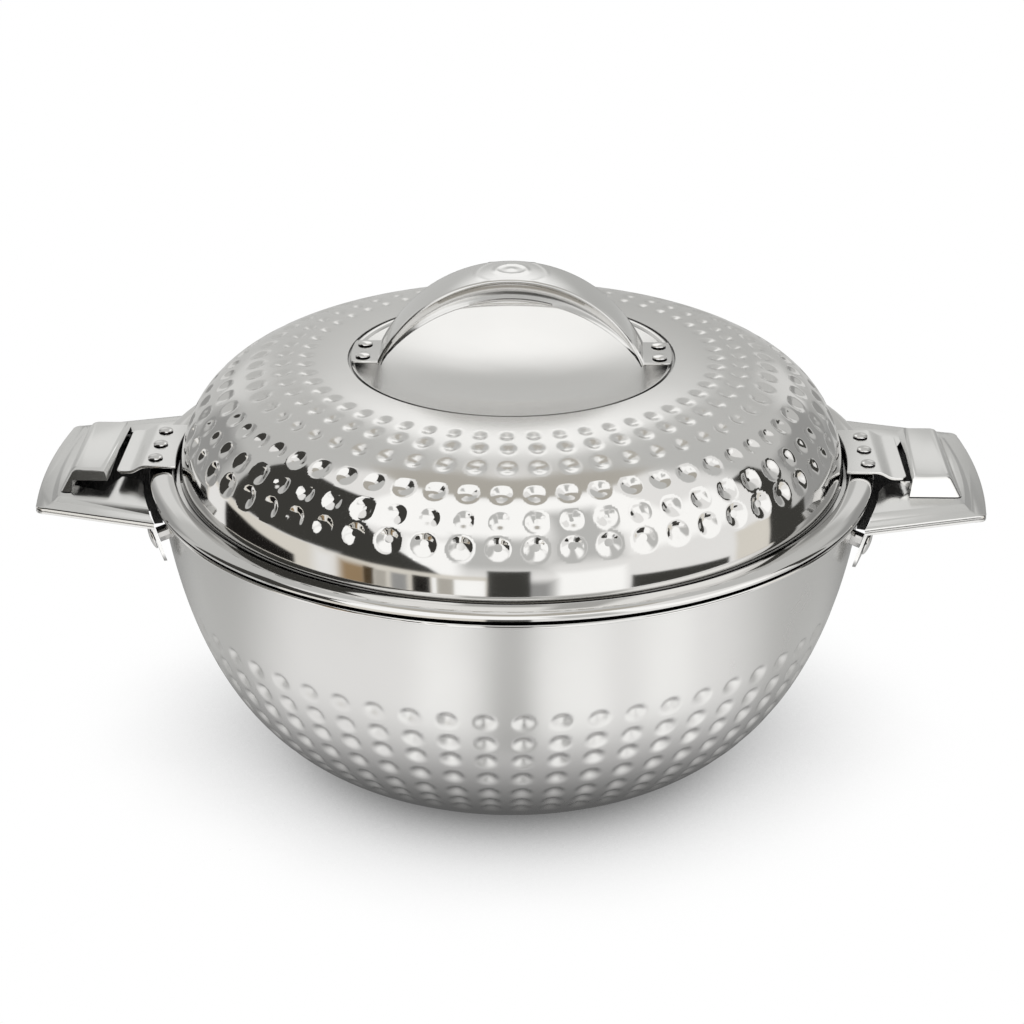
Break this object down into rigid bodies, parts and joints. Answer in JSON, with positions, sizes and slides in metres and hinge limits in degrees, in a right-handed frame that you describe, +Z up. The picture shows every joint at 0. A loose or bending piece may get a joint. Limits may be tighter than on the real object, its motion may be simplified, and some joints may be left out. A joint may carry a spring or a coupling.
{
  "type": "insulated casserole",
  "caption": "Insulated steel casserole for flatbreads: double-walled bowl and lift-off domed lid, turning lid tabs under catches, wide side handles, arched top handle.",
  "frame": {"origin": "middle of the flat base, on the surface that the casserole stands on", "axes": "+X to the right side handle, +Y to the rear, +Z up; the picture looks from -Y"},
  "size_m": [0.351, 0.2704, 0.1866],
  "materials": {
    "satin_steel": "satin stainless steel sheet, dimpled on the bowl and lid",
    "polished_steel": "mirror-polished stainless steel",
    "foam": "rigid cream foam",
    "seal": "matt food-safe silicone",
    "black_plastic": "matt black heat-resistant plastic"
  },
  "bodies": {
    "casserole": {"base_plate": "satin_steel", "bowl_insulation": "foam", "bowl_rim_bead": "polished_steel", "catch_left": "satin_steel", "catch_right": "satin_steel", "handle_left": "satin_steel", "handle_liner_left": "black_plastic", "handle_liner_right": "black_plastic", "handle_right": "satin_steel", "inner_bowl": "satin_steel", "leg_rivet_left_front": "polished_steel", "leg_rivet_left_rear": "polished_steel", "leg_rivet_right_front": "polished_steel", "leg_rivet_right_rear": "polished_steel", "leg_spacer_left_front": "polished_steel", "leg_spacer_left_rear": "polished_steel", "leg_spacer_right_front": "polished_steel", "leg_spacer_right_rear": "polished_steel", "outer_bowl_shell": "satin_steel"},
    "lid_seal": {"lid_seal_ring": "seal"},
    "lid": {"lid_dome": "satin_steel", "lid_brim_ring": "polished_steel", "lid_inner_shell": "satin_steel", "lid_insulation": "foam", "lid_tab_left": "satin_steel", "lid_tab_right": "satin_steel", "top_handle_strap": "satin_steel", "top_handle_liner": "polished_steel", "handle_rivet_1": "polished_steel", "handle_rivet_2": "polished_steel", "handle_rivet_3": "polished_steel", "handle_rivet_4": "polished_steel", "tab_rivet_left_1": "polished_steel", "tab_rivet_left_2": "polished_steel", "tab_rivet_left_3": "polished_steel", "tab_rivet_right_1": "polished_steel", "tab_rivet_right_2": "polished_steel", "tab_rivet_right_3": "polished_steel"}
  },
  "joints": [
    {"name": "lid_lift", "type": "slide", "parent": "casserole", "child": "lid_seal", "axis": [0, 0, 1], "range_m": [0, 0.08]},
    {"name": "lid_turn", "type": "hinge", "parent": "lid_seal", "child": "lid", "pos_m": [0, 0, 0.111], "axis": [0, 0, 1], "range_deg": [0, 8]}
  ]
}
